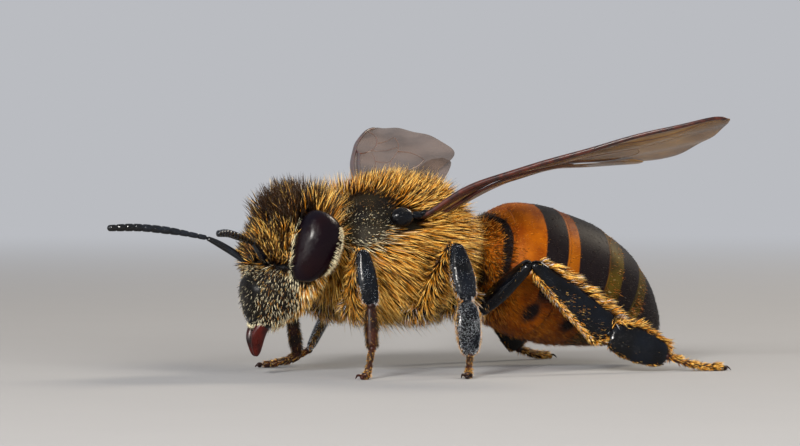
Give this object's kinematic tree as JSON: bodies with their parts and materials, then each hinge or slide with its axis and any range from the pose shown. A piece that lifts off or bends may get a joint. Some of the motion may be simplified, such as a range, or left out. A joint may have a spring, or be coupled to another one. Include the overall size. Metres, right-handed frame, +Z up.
{
  "type": "worker honey bee",
  "caption": "Still, life-size worker honey bee standing on its feet, with spread wings, feelers held forward, a golden coat and a banded abdomen.",
  "frame": {"origin": "on the floor, under the middle of the box round the whole model", "axes": "+Z up, the bee faces -Y and its left side is towards +X"},
  "size_m": [0.0168, 0.0174, 0.0075],
  "materials": {
    "coat": "erect golden and brown hair",
    "face_coat": "short golden and cream hair over black cuticle",
    "eye": "smooth dark purple-brown eye with fine facets",
    "jaw": "polished dark red-brown cuticle",
    "antenna": "black cuticle with fine down, brown at the tip",
    "cuticle": "polished blue-black cuticle with pits and fine pale hair",
    "tarsus": "red-brown cuticle with short hair",
    "abdomen": "orange and black banded cuticle with short hair",
    "wing": "clear smoky membrane with brown veins"
  },
  "bodies": {
    "root": {"thorax": "coat", "neck": "coat", "head": "face_coat", "eye_left": "eye", "mandible_left": "jaw", "antenna_left_scape": "antenna", "antenna_left_flagellum": "antenna", "tegula_left": "cuticle", "forewing_left": "wing", "hindwing_left": "wing", "eye_right": "eye", "mandible_right": "jaw", "antenna_right_scape": "antenna", "antenna_right_flagellum": "antenna", "tegula_right": "cuticle", "forewing_right": "wing", "hindwing_right": "wing", "proboscis": "jaw", "abdomen_1": "abdomen", "abdomen_2": "abdomen", "abdomen_3": "abdomen", "abdomen_4": "abdomen", "abdomen_5": "abdomen", "abdomen_6": "abdomen", "leg_fore_left_coxa": "coat", "leg_fore_left_femur": "cuticle", "leg_fore_left_tibia": "cuticle", "leg_fore_left_basitarsus": "tarsus", "leg_fore_left_tarsus": "tarsus", "leg_fore_right_coxa": "coat", "leg_fore_right_femur": "cuticle", "leg_fore_right_tibia": "cuticle", "leg_fore_right_basitarsus": "tarsus", "leg_fore_right_tarsus": "tarsus", "leg_mid_left_coxa": "coat", "leg_mid_left_femur": "cuticle", "leg_mid_left_tibia": "cuticle", "leg_mid_left_basitarsus": "cuticle", "leg_mid_left_tarsus": "tarsus", "leg_mid_right_coxa": "coat", "leg_mid_right_femur": "cuticle", "leg_mid_right_tibia": "cuticle", "leg_mid_right_basitarsus": "cuticle", "leg_mid_right_tarsus": "tarsus", "leg_hind_left_coxa": "coat", "leg_hind_left_femur": "cuticle", "leg_hind_left_tibia": "cuticle", "leg_hind_left_basitarsus": "cuticle", "leg_hind_left_tarsus": "tarsus", "leg_hind_right_coxa": "coat", "leg_hind_right_femur": "cuticle", "leg_hind_right_tibia": "cuticle", "leg_hind_right_basitarsus": "cuticle", "leg_hind_right_tarsus": "tarsus"}
  },
  "joints": []
}
